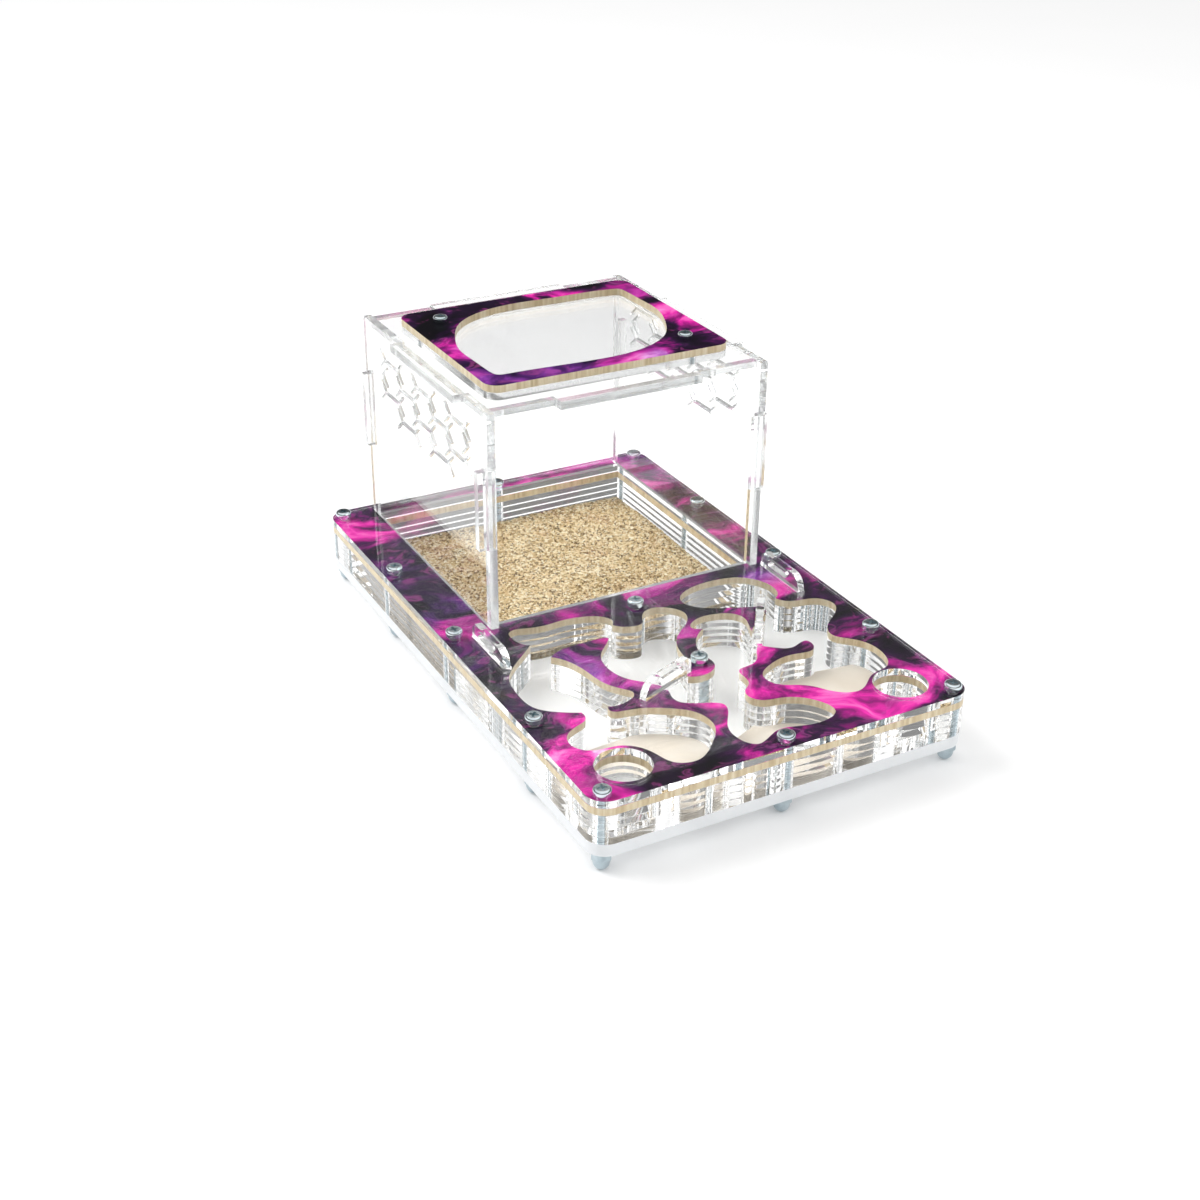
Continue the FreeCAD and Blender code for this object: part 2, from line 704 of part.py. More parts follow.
def make_gate(label, x, y, turn):
    """A plate that slides up out of its slot, with a rounded grip above the cover."""
    body = doc.addObject("PartDesign::Body", "Body_" + label)
    outline = new_sketch(body, "Outline_" + label)
    half = size("gate_length") / 2
    foot = LAYERS_BOTTOM - COVER_TOP
    top = size("gate_handle")
    near = size("handle_near_radius")
    far = size("handle_far_radius")
    corners = [(-half, top - near), (-half, foot), (half, foot), (half, top - far)]
    for start, end in zip(corners, corners[1:]):
        outline.addGeometry(Part.LineSegment(vec(*start), vec(*end)), False)
    outline.addGeometry(Part.LineSegment(vec(half - far, top), vec(near - half, top)), False)
    for centre, radius, first in ((half - far, far, 0), (near - half, near, 90)):
        circle = Part.Circle(vec(centre, top - radius), vec(0, 0, 1), radius)
        outline.addGeometry(Part.ArcOfCircle(circle, math.radians(first),
                                             math.radians(first + 90)), False)
    pad(body, outline, "Pad_" + label, "gate_thickness", 0.0)
    grip = new_sketch(body, "Grip_" + label)
    width = size("grip_slot_width")
    straight = (size("grip_slot_length") - width) / 2
    middle = top / 2
    shift = size("grip_slot_shift")
    for side in (1, -1):
        grip.addGeometry(Part.LineSegment(vec(shift - straight, middle + side * width / 2),
                                          vec(shift + straight, middle + side * width / 2)),
                         False)
        circle = Part.Circle(vec(shift + side * straight, middle), vec(0, 0, 1), width / 2)
        first = math.radians(-90 if side == 1 else 90)
        grip.addGeometry(Part.ArcOfCircle(circle, first, first + math.pi), False)
    pocket_through(body, grip, "CutGrip_" + label)
    heading = FreeCAD.Rotation(vec(0, 0, 1), turn)
    upright = FreeCAD.Rotation(vec(1, 0, 0), 90)
    aside = heading.multVec(vec(0, size("gate_thickness") / 2, 0))
    body.Placement = FreeCAD.Placement(vec(x, y, COVER_TOP) + aside, heading.multiply(upright))
    return keep(label, body)


def make_sand():
    """Sand on the box's floor, in the pit that the sheets leave."""
    play = size("fill_play")
    item = doc.addObject("Part::Box", "Sand")
    item.setExpression("Length", "Sizes.box_inner_width - 2 * Sizes.fill_play")
    item.setExpression("Width", "Sizes.box_inner_length - 2 * Sizes.fill_play")
    item.setExpression("Height", "Sizes.sand_depth")
    item.Placement = FreeCAD.Placement(vec(BOX_LEFT + play, BOX_FRONT + play, LAYERS_BOTTOM),
                                       FreeCAD.Rotation())
    return keep("sand_bed", item)


def drawn_in(arcs, play):
    """A chain of arcs along the nest's edge, moved by the play to the open side."""
    moved = []
    end = None
    for arc in arcs:
        span = arc.LastParameter - arc.FirstParameter
        places = [arc.FirstParameter + span * share for share in (0, 0.5, 1)]
        sense = 1
        if end and arc.value(places[0]).distanceToPoint(end) > play:
            places.reverse()
            sense = -1
        points = []
        for place in places:
            along = arc.tangent(place)[0] * sense
            points.append(arc.value(place) + vec(along.y, -along.x) * play)
        end = arc.value(places[2])
        moved.append(points)
    return moved


def make_gypsum(label, stretch, first, last):
    """A cast floor that follows the room's edge, drawn in by the play."""
    drawn = NEST_STRETCHES[stretch]
    curve = smooth_curve(drawn)
    start = curve.parameter(vec(*nest_xy(*drawn[first])))
    curve.segment(start, curve.parameter(vec(*nest_xy(*drawn[last]))))
    body = doc.addObject("PartDesign::Body", "Body_" + label)
    floor = new_sketch(body, "Outline_" + label)
    chain = drawn_in(curve.toBiArcs(ARC_TOLERANCE), size("gypsum_play"))
    for points in chain:
        floor.addGeometry(Part.Arc(*points), False)
    floor.addGeometry(Part.LineSegment(chain[-1][2], chain[0][0]), False)
    pad(body, floor, "Pad_" + label, "gypsum_depth", LAYERS_BOTTOM)
    return keep(label, body)


def export_all():
    doc.recompute()
    for item in doc.Objects:
        if "Invalid" in item.State or "Error" in item.State:
            raise RuntimeError("failed: " + item.Name)
    for label, item in checked:
        if item.Shape.isNull() or not item.Shape.isValid():
            raise RuntimeError("bad shape: " + label)
    os.makedirs("parts", exist_ok=True)
    for label, item in checked:
        item.Shape.exportStep("parts/%s.step" % label)
        box = item.Shape.BoundBox
        print("%-22s solids %d volume %9.0f  x %.1f %.1f  y %.1f %.1f  z %.1f %.1f" % (
            label, len(item.Shape.Solids), item.Shape.Volume, box.XMin, box.XMax,
            box.YMin, box.YMax, box.ZMin, box.ZMax))


make_stack()
make_cross_wall("arena_front_wall", BOX_FRONT - WALL)
make_cross_wall("arena_rear_wall", BOX_REAR)
make_side_wall("arena_left_wall", BOX_LEFT - WALL)
make_side_wall("arena_right_wall", BOX_RIGHT)
make_top_panel()
make_lid()
make_fasteners()
for gate, (gate_x, gate_y, gate_turn) in gate_places().items():
    make_gate(gate, gate_x, gate_y, gate_turn)
make_sand()
for room_label, (edge_stretch, edge_first, edge_last) in GYPSUM_EDGES.items():
    make_gypsum(room_label, edge_stretch, edge_first, edge_last)
export_all()
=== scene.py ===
import json
import math
import random

import bmesh
import bpy
from mathutils import Matrix, Vector, noise


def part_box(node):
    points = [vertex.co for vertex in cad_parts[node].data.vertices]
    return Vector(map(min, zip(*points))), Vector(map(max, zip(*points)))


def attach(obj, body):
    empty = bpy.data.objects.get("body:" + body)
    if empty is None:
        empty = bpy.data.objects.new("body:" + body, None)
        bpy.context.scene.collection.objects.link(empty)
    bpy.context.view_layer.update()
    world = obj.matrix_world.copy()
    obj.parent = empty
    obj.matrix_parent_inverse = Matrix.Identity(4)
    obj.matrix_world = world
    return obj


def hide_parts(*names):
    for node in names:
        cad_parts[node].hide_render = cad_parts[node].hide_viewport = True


# Ant habitat: clear sheets round a winding nest, and a clear box with a lift-off lid.
# Lengths are metres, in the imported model's frame; MM turns millimetres into metres.

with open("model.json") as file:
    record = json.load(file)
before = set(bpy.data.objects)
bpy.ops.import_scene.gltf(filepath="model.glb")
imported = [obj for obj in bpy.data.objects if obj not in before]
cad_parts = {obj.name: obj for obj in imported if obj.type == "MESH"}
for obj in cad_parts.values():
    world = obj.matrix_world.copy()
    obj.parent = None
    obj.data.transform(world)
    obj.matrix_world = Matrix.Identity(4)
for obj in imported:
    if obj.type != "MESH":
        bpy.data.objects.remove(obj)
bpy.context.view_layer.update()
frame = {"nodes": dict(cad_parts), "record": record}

MM = 0.001
SEED = 7
SHEET_GAP = 0.03 * MM
SHARP_ANGLE = math.radians(32)

# Corners nearer than this are one corner, in a sheet's mesh and in a screw's
SHEET_JOIN = 0.004 * MM
SCREW_JOIN = 0.001 * MM

# Cosines: facets nearer to each other than the first face one way, facets nearer to the way
# that a sheet faces than the second lie on its face, and those under the third on its edge
SAME_WAY = 0.8
ON_FACE = 0.9
ON_EDGE = 0.5

# The photograph's camera, solved from the base's corners and the screws
CAMERA_AZIMUTH = math.radians(-28.60)
CAMERA_ELEVATION = math.radians(28.545)
CAMERA_ROLL = math.radians(0.647)
CAMERA_DISTANCE = 719.1 * MM
CAMERA_RIGHT = -8.98 * MM
CAMERA_UP = -2.13 * MM
CAMERA_TARGET = Vector((0.0, 0.0, 31.0 * MM))
CAMERA_LENS = 52.70
CAMERA_SENSOR = 36.0
CAMERA_CLIP = (0.01, 20.0)

BODY_OF_NODE = {node: body for body, nodes in frame["record"]["behaviour"]["bodies"].items()
                for node in nodes}
SLOT_OF_NODE = {part["node"]: part["material_slot"] for part in frame["record"]["subparts"]}

NEST_SHEETS = ["nest_layer_1", "nest_layer_2", "nest_layer_3", "nest_layer_4", "cover_plate"]
BOX_SHEETS = ["arena_front_wall", "arena_rear_wall", "arena_left_wall", "arena_right_wall",
              "arena_top_panel", "lid_plate", "lid_plug"]
GATES = ["gate_left", "gate_right", "gate_middle", "gate_inner"]


# Materials

WHITE = (1.0, 1.0, 1.0, 1.0)
ACRYLIC_INDEX = 1.49

# Where a Mix node keeps its inputs A and B and its result, for values and for colours
VALUE_SOCKETS = (2, 3, 0)
COLOR_SOCKETS = (6, 7, 2)


def new_material(name):
    """A node material with only a shader: the material, its tree, the shader and the output."""
    material = bpy.data.materials.new(name)
    material.use_nodes = True
    tree = material.node_tree
    tree.nodes.clear()
    output = tree.nodes.new("ShaderNodeOutputMaterial")
    shader = tree.nodes.new("ShaderNodeBsdfPrincipled")
    tree.links.new(shader.outputs["BSDF"], output.inputs["Surface"])
    return material, tree, shader, output


def add_node(tree, kind, **values):
    node = tree.nodes.new(kind)
    for key, value in values.items():
        if key in node.inputs.keys():
            node.inputs[key].default_value = value
        else:
            setattr(node, key, value)
    return node


def object_coordinates(tree):
    return add_node(tree, "ShaderNodeTexCoord").outputs["Object"]


def add_noise(tree, scale, detail=4.0, roughness=0.5, distortion=0.0, vector=None):
    texture = add_node(tree, "ShaderNodeTexNoise", Scale=scale, Detail=detail,
                       Roughness=roughness, Distortion=distortion)
    tree.links.new(vector or object_coordinates(tree), texture.inputs["Vector"])
    return texture


def add_ramp(tree, factor, stops):
    ramp = tree.nodes.new("ShaderNodeValToRGB")
    elements = ramp.color_ramp.elements
    while len(elements) > 1:
        elements.remove(elements[-1])
    elements[0].position = stops[0][0]
    elements[0].color = (*stops[0][1], 1.0)
    for position, color in stops[1:]:
        element = elements.new(position)
        element.color = (*color, 1.0)
    tree.links.new(factor, ramp.inputs["Fac"])
    return ramp.outputs["Color"]


def add_map_range(tree, value, from_range, to_range=(0.0, 1.0)):
    """The value moved from one range to another, and held inside it."""
    node = tree.nodes.new("ShaderNodeMapRange")
    names = ("From Min", "From Max", "To Min", "To Max")
    for name, number in zip(names, from_range + to_range):
        node.inputs[name].default_value = number
    tree.links.new(value, node.inputs["Value"])
    return node.outputs["Result"]


def add_mix(tree, share, first, second, sockets=VALUE_SOCKETS):
    """The first where share is 0 and the second where it is 1; each is a socket or a value."""
    mix = tree.nodes.new("ShaderNodeMix")
    if sockets == COLOR_SOCKETS:
        mix.data_type = "RGBA"
    tree.links.new(share, mix.inputs[0])
    for index, source in zip(sockets, (first, second)):
        if isinstance(source, bpy.types.NodeSocket):
            tree.links.new(source, mix.inputs[index])
        else:
            mix.inputs[index].default_value = source
    return mix.outputs[sockets[2]]


def paint(tree, shader, tone, dark, pale, ends=(0.3, 0.7)):
    """A base colour that runs from dark to pale between two levels of a noise."""
    color = add_ramp(tree, tone.outputs["Fac"], [(ends[0], dark), (ends[1], pale)])
    tree.links.new(color, shader.inputs["Base Color"])


def add_bump(tree, shader, height, distance, strength=1.0):
    bump = add_node(tree, "ShaderNodeBump", Distance=distance, Strength=strength)
    tree.links.new(height, bump.inputs["Height"])
    tree.links.new(bump.outputs["Normal"], shader.inputs["Normal"])


def let_light_through(tree, shader, output, tint):
    """Shadow rays pass a clear sheet, so that what is under it is lit."""
    path = tree.nodes.new("ShaderNodeLightPath")
    passing = tree.nodes.new("ShaderNodeBsdfTransparent")
    passing.inputs["Color"].default_value = (*tint, 1.0)
    mix = tree.nodes.new("ShaderNodeMixShader")
    tree.links.new(path.outputs["Is Shadow Ray"], mix.inputs["Fac"])
    tree.links.new(shader.outputs["BSDF"], mix.inputs[1])
    tree.links.new(passing.outputs["BSDF"], mix.inputs[2])
    tree.links.new(mix.outputs["Shader"], output.inputs["Surface"])


def make_clear_acrylic():
    """Clear plastic with fine marks that blur it a little in places."""
    material, tree, shader, output = new_material("clear_acrylic_sheet")
    shader.inputs["Base Color"].default_value = (0.996, 0.998, 0.998, 1.0)
    shader.inputs["Transmission Weight"].default_value = 1.0
    shader.inputs["Specular Tint"].default_value = (0.5, 0.5, 0.5, 1.0)
    shader.inputs["IOR"].default_value = ACRYLIC_INDEX
    marks = add_noise(tree, 900.0, 2.0)
    haze = add_map_range(tree, marks.outputs["Fac"], (0.55, 0.8), (0.0, 0.03))
    tree.links.new(haze, shader.inputs["Roughness"])
    let_light_through(tree, shader, output, (0.97, 0.975, 0.975))
    return material


def make_milky_acrylic(name, dark, pale, glow):
    """Milky plastic; the glow is painted light: an emission that stands for the light that spreads
    inside it.
    """
    material, tree, shader, output = new_material(name)
    paint(tree, shader, add_noise(tree, 60.0, 3.0), dark, pale)
    shader.inputs["Transmission Weight"].default_value = 0.2
    shader.inputs["Roughness"].default_value = 0.28
    shader.inputs["IOR"].default_value = ACRYLIC_INDEX
    # Painted light: the plastic glows though it is no lamp.
    shader.inputs["Emission Color"].default_value = WHITE
    shader.inputs["Emission Strength"].default_value = glow
    let_light_through(tree, shader, output, (0.57, 0.57, 0.57))
    return material


def make_acrylic_edge():
    """Where a clear sheet was cut: the same plastic with a fine haze of saw lines."""
    material, tree, shader, output = new_material("clear_acrylic_cut_edge")
    lines = add_noise(tree, 1300.0, 2.0)
    paint(tree, shader, lines, (0.86, 0.88, 0.88), (0.97, 0.98, 0.98), (0.35, 0.6))
    shader.inputs["Transmission Weight"].default_value = 0.85
    shader.inputs["Roughness"].default_value = 0.08
    shader.inputs["IOR"].default_value = ACRYLIC_INDEX
    add_bump(tree, shader, lines.outputs["Fac"], 0.00003, 0.4)
    let_light_through(tree, shader, output, (0.95, 0.955, 0.955))
    return material


def make_print():
    """A printed marble of black, violet and magenta clouds, with hardly any shine."""
    material, tree, shader, _ = new_material("marble_print")
    where = object_coordinates(tree)
    stretch = add_node(tree, "ShaderNodeMapping")
    stretch.inputs["Scale"].default_value = (1.0, 1.35, 1.0)
    stretch.inputs["Rotation"].default_value = (0.0, 0.0, math.radians(24))
    tree.links.new(where, stretch.inputs["Vector"])
    swirl = add_noise(tree, 16.0, 3.0, 0.55, 0.6, stretch.outputs["Vector"])
    shift = add_node(tree, "ShaderNodeVectorMath", operation="MULTIPLY_ADD")
    shift.inputs[1].default_value = (0.05, 0.05, 0.05)
    tree.links.new(swirl.outputs["Color"], shift.inputs[0])
    tree.links.new(stretch.outputs["Vector"], shift.inputs[2])
    clouds = add_noise(tree, 21.0, 7.0, 0.58, 0.9, shift.outputs["Vector"])
    magenta = add_ramp(tree, clouds.outputs["Fac"], [
        (0.36, (0.002, 0.001, 0.003)), (0.43, (0.012, 0.003, 0.018)),
        (0.48, (0.045, 0.005, 0.055)), (0.53, (0.330, 0.008, 0.190)),
        (0.58, (0.780, 0.020, 0.380)), (0.64, (0.920, 0.170, 0.560)),
        (0.72, (0.970, 0.650, 0.850))])
    violet = add_ramp(tree, clouds.outputs["Fac"], [
        (0.38, (0.003, 0.002, 0.006)), (0.46, (0.018, 0.006, 0.036)),
        (0.53, (0.075, 0.014, 0.130)), (0.60, (0.230, 0.040, 0.330)),
        (0.70, (0.650, 0.240, 0.700))])
    zones = add_noise(tree, 11.0, 2.0, 0.5, 0.4, shift.outputs["Vector"])
    share = add_map_range(tree, zones.outputs["Fac"], (0.40, 0.53))
    clouded = add_mix(tree, share, violet, magenta, COLOR_SOCKETS)
    wisps = add_noise(tree, 75.0, 5.0, 0.6, 1.2, shift.outputs["Vector"])
    streak = add_ramp(tree, wisps.outputs["Fac"], [
        (0.55, (0.0, 0.0, 0.0)), (0.63, (0.3, 0.3, 0.3)), (0.7, (0.0, 0.0, 0.0))])
    streaked = add_mix(tree, streak, clouded, (0.62, 0.10, 0.42, 1.0), COLOR_SOCKETS)
    tree.links.new(streaked, shader.inputs["Base Color"])
    shader.inputs["Roughness"].default_value = 0.3
    shader.inputs["Specular IOR Level"].default_value = 0.03
    return material


def make_tan_edge():
    """The printed sheets' cut edges: tan, with faint upright saw lines."""
    material, tree, shader, _ = new_material("tan_cut_edge")
    where = object_coordinates(tree)
    lines = add_node(tree, "ShaderNodeMapping")
    lines.inputs["Scale"].default_value = (1.0, 1.0, 0.06)
    tree.links.new(where, lines.inputs["Vector"])
    streaks = add_noise(tree, 700.0, 3.0, 0.5, 0.0, lines.outputs["Vector"])
    color = add_ramp(tree, streaks.outputs["Fac"], [
        (0.30, (0.56, 0.44, 0.26)), (0.50, (0.71, 0.59, 0.39)), (0.72, (0.83, 0.74, 0.56))])
    tree.links.new(color, shader.inputs["Base Color"])
    shader.inputs["Roughness"].default_value = 0.33
    shader.inputs["Subsurface Weight"].default_value = 0.15
    shader.inputs["Subsurface Radius"].default_value = (0.004, 0.003, 0.002)
    add_bump(tree, shader, streaks.outputs["Fac"], 0.00004)
    return material


def make_underside():
    """The bare back of the printed sheets: cream, with faint clouds, painted paler than it is to
    make up for the little light that reaches it from below.
    """
    material, tree, shader, _ = new_material("cream_underside")
    paint(tree, shader, add_noise(tree, 90.0, 4.0), (0.86, 0.80, 0.68), (0.94, 0.90, 0.80))
    shader.inputs["Roughness"].default_value = 0.5
    return material


def make_zinc(name, dark, bright, roughness):
    material, tree, shader, _ = new_material(name)
    paint(tree, shader, add_noise(tree, 260.0, 3.0), dark, bright)
    shader.inputs["Metallic"].default_value = 1.0
    shader.inputs["Roughness"].default_value = roughness
    add_bump(tree, shader, add_noise(tree, 2500.0, 2.0).outputs["Fac"], 0.00001)
    return material


def make_sand_material():
    material, tree, shader, _ = new_material("coarse_sand")
    grains = add_node(tree, "ShaderNodeTexVoronoi", Scale=1100.0)
    tree.links.new(object_coordinates(tree), grains.inputs["Vector"])
    tint = add_node(tree, "ShaderNodeSeparateColor")
    tree.links.new(grains.outputs["Color"], tint.inputs["Color"])
    color = add_ramp(tree, tint.outputs["Red"], [
        (0.0, (0.14, 0.08, 0.03)), (0.18, (0.44, 0.30, 0.13)), (0.45, (0.72, 0.54, 0.29)),
        (0.75, (0.90, 0.75, 0.47)), (1.0, (1.0, 0.94, 0.76))])
    tree.links.new(color, shader.inputs["Base Color"])
    shader.inputs["Roughness"].default_value = 0.75
    add_bump(tree, shader, grains.outputs["Distance"], 0.0003, 0.8)
    return material


def make_gypsum_material():
    material, tree, shader, _ = new_material("cast_gypsum")
    paint(tree, shader, add_noise(tree, 45.0, 5.0), (0.80, 0.72, 0.61), (0.90, 0.84, 0.75))
    shader.inputs["Roughness"].default_value = 0.9
    add_bump(tree, shader, add_noise(tree, 1400.0, 4.0).outputs["Fac"], 0.0001)
    return material


def make_floor_material():
    """White, with a glow that the camera and mirrors see, and one for rays through sheets."""
    material, tree, shader, _ = new_material("white_table")
    paint(tree, shader, add_noise(tree, 8.0, 2.0), (0.95, 0.95, 0.95), (0.97, 0.97, 0.97),
          (0.0, 1.0))
    shader.inputs["Roughness"].default_value = 0.9
    shader.inputs["Specular IOR Level"].default_value = 0.0
    path = tree.nodes.new("ShaderNodeLightPath")
    direct = add_node(tree, "ShaderNodeMath", operation="MAXIMUM")
    tree.links.new(path.outputs["Is Camera Ray"], direct.inputs[0])
    tree.links.new(path.outputs["Is Glossy Ray"], direct.inputs[1])
    own = add_node(tree, "ShaderNodeMath", operation="MULTIPLY")
    own.inputs[1].default_value = FLOOR_GLOW
    tree.links.new(direct.outputs["Value"], own.inputs[0])
    glow = add_node(tree, "ShaderNodeMath", operation="MULTIPLY_ADD")
    glow.inputs[1].default_value = SHEET_GLOW
    tree.links.new(path.outputs["Is Transmission Ray"], glow.inputs[0])
    tree.links.new(own.outputs["Value"], glow.inputs[2])
    shader.inputs["Emission Color"].default_value = WHITE
    tree.links.new(glow.outputs["Value"], shader.inputs["Emission Strength"])
    return material


MATERIALS = {
    "clear_acrylic": make_clear_acrylic(),
    # The base's edges and underside: greyer than its top, with a faint painted glow.
    "milky_acrylic": make_milky_acrylic("milky_acrylic_edge", (0.82, 0.84, 0.86),
                                        (0.88, 0.90, 0.92), 0.04),
    "printed_panel": make_print(),
    "zinc_steel": make_zinc("zinc_plate", (0.36, 0.44, 0.48), (0.56, 0.64, 0.68), 0.22),
    "sand": make_sand_material(),
    "gypsum": make_gypsum_material(),
}
# A lit copy of the milky plastic for the base's top faces: paler, with a stronger painted glow.
MILKY_LIT_FACE = make_milky_acrylic("milky_acrylic_face_painted_light", (0.96, 0.95, 0.93), (0.99, 0.98, 0.96), 0.18)
TAN_EDGE = make_tan_edge()
UNDERSIDE = make_underside()
ACRYLIC_EDGE = make_acrylic_edge()
# Screw heads: a paler, shinier copy of the zinc, painted light on their tops.
LIT_HEAD_ZINC = make_zinc("zinc_head_painted_light", (0.58, 0.69, 0.73), (0.88, 0.94, 0.96), 0.18)
# Cross recesses: nearly black zinc, painted shade in the hollows.
SHADED_RECESS_ZINC = make_zinc("zinc_recess_painted_shade", (0.03, 0.07, 0.09), (0.16, 0.26, 0.30), 0.3)


# Pieces

def link_object(name, data):
    item = bpy.data.objects.new(name, data)
    bpy.context.scene.collection.objects.link(item)
    return item


def add_object(name, mesh, node=None, body=None):
    """Links a mesh as a piece; with a node it stands for that node and rides on its body."""
    piece = link_object(name, mesh)
    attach(piece, body or BODY_OF_NODE[node])
    if node:
        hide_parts(node)
    return piece


def separate_directions(vertex):
    """The directions of the faces round a vertex, with like ones taken together."""
    directions = []
    for face in vertex.link_faces:
        for index, known in enumerate(directions):
            if known.normalized().dot(face.normal) > SAME_WAY:
                directions[index] = known + face.normal * face.calc_area()
                break
        else:
            directions.append(face.normal * face.calc_area())
    return [direction.normalized() for direction in directions]


def joined_copy(node, distance):
    """A copy of the node's mesh with its corners joined up where they meet."""
    bm = bmesh.new()
    bm.from_mesh(frame["nodes"][node].data)
    bmesh.ops.remove_doubles(bm, verts=bm.verts, dist=distance)
    return bm


def smooth_mesh(bm, name):
    """A smooth mesh of the same points and faces, without the old normals. Frees the old."""
    bm.verts.index_update()
    mesh = bpy.data.meshes.new(name)
    mesh.from_pydata([vertex.co.copy() for vertex in bm.verts], [],
                     [[vertex.index for vertex in face.verts] for face in bm.faces])
    bm.free()
    for polygon in mesh.polygons:
        polygon.use_smooth = True
    return mesh


def sheet_mesh(node, name):
    """The node's own mesh, joined up and drawn in by a hair, so that stacked faces don't meet."""
    bm = joined_copy(node, SHEET_JOIN)
    bm.normal_update()
    moves = []
    for vertex in bm.verts:
        shift = Vector()
        for direction in separate_directions(vertex):
            shift -= direction * SHEET_GAP
        moves.append(shift)
    for vertex, shift in zip(bm.verts, moves):
        vertex.co += shift
    mesh = smooth_mesh(bm, name)
    mesh.set_sharp_from_angle(angle=SHARP_ANGLE)
    return mesh


def dress_sheet(node, material):
    """The material all over, but a lit copy with painted light on the base's top faces, and
    another on the box's cut edges.
    """
    mesh = sheet_mesh(node, node + "_sheet")
    mesh.materials.append(material)
    # Painted light: the base's top faces get the paler, brighter glowing copy.
    if node == "base_plate":
        mesh.materials.append(MILKY_LIT_FACE)
        for polygon in mesh.polygons:
            polygon.material_index = 1 if polygon.normal.z > ON_FACE else 0
    if node in BOX_SHEETS:
        mesh.materials.append(ACRYLIC_EDGE)
        flat = flat_direction(mesh)
        for polygon in mesh.polygons:
            polygon.material_index = 0 if abs(polygon.normal.dot(flat)) > ON_FACE else 1
    add_object(node + "_sheet", mesh, node)


def flat_direction(mesh):
    """The direction that the sheet's largest facet faces."""
    largest = max(mesh.polygons, key=lambda polygon: polygon.area)
    return largest.normal.copy()


def dress_printed(node):
    """Print on the top face, tan on the cut edges, cream underneath."""
    mesh = sheet_mesh(node, node + "_sheet")
    for material in (MATERIALS["printed_panel"], TAN_EDGE, UNDERSIDE):
        mesh.materials.append(material)
    for polygon in mesh.polygons:
        if abs(polygon.normal.z) < ON_EDGE:
            polygon.material_index = 1
        elif polygon.normal.z < 0:
            polygon.material_index = 2
    add_object(node + "_sheet", mesh, node)


# Each node's head height, and the reach, half width and depth of the cross in it
HEADS = {"base_screws": (2.6 * MM, 2.25 * MM, 0.62 * MM, 1.5 * MM),
         "lid_screws": (2.2 * MM, 1.75 * MM, 0.5 * MM, 1.2 * MM)}

# The cross at its upper and at its lower end, in shares of its reach and half width
CROSS_TAPER = ((1.0, 1.0), (0.62, 0.45))


def islands(bm):
    """The vertices of each separate solid in a mesh."""
    left = set(bm.verts)
    groups = []
    for seed in bm.verts:
        if seed not in left:
            continue
        left.remove(seed)
        stack = [seed]
        group = []
        while stack:
            vertex = stack.pop()
            group.append(vertex)
            for edge in vertex.link_edges:
                other = edge.other_vert(vertex)
                if other in left:
                    left.remove(other)
                    stack.append(other)
        groups.append(group)
    return groups


def middle_of(group):
    """Half way between the least and the greatest corner of a solid, on the level."""
    across = [vertex.co.x for vertex in group]
    along = [vertex.co.y for vertex in group]
    return Vector(((min(across) + max(across)) / 2, (min(along) + max(along)) / 2, 0.0))


def add_cross_cutter(bm, middle, top, angle, reach, half_width, depth):
    """A cross that narrows downwards, to be taken out of a screw's head."""
    rings = []
    for level, (long, wide) in zip((top + depth, top - depth), CROSS_TAPER):
        a = reach * long
        w = half_width * wide
        outline = [(w, w), (w, a), (-w, a), (-w, w), (-a, w), (-a, -w), (-w, -w), (-w, -a),
                   (w, -a), (w, -w), (a, -w), (a, w)]
        ring = []
        for x, y in outline:
            turned = Matrix.Rotation(angle, 3, "Z") @ Vector((x, y, 0.0))
            ring.append(bm.verts.new((middle.x + turned.x, middle.y + turned.y, level)))
        rings.append(ring)
    upper, lower = rings
    count = len(upper)
    bm.faces.new(upper)
    bm.faces.new(lower[::-1])
    for index in range(count):
        after = (index + 1) % count
        bm.faces.new((upper[index], lower[index], lower[after], upper[after]))


def cut_away(piece, cutter_mesh):
    """Takes the cutter's shape out of the piece's mesh for good, and removes the cutter."""
    tool = link_object(cutter_mesh.name, cutter_mesh)
    cut = piece.modifiers.new("cross", "BOOLEAN")
    cut.operation = "DIFFERENCE"
    cut.solver = "EXACT"
    cut.object = tool
    graph = bpy.context.evaluated_depsgraph_get()
    piece.data = bpy.data.meshes.new_from_object(piece.evaluated_get(graph))
    piece.modifiers.clear()
    bpy.data.objects.remove(tool)
    bpy.data.meshes.remove(cutter_mesh)


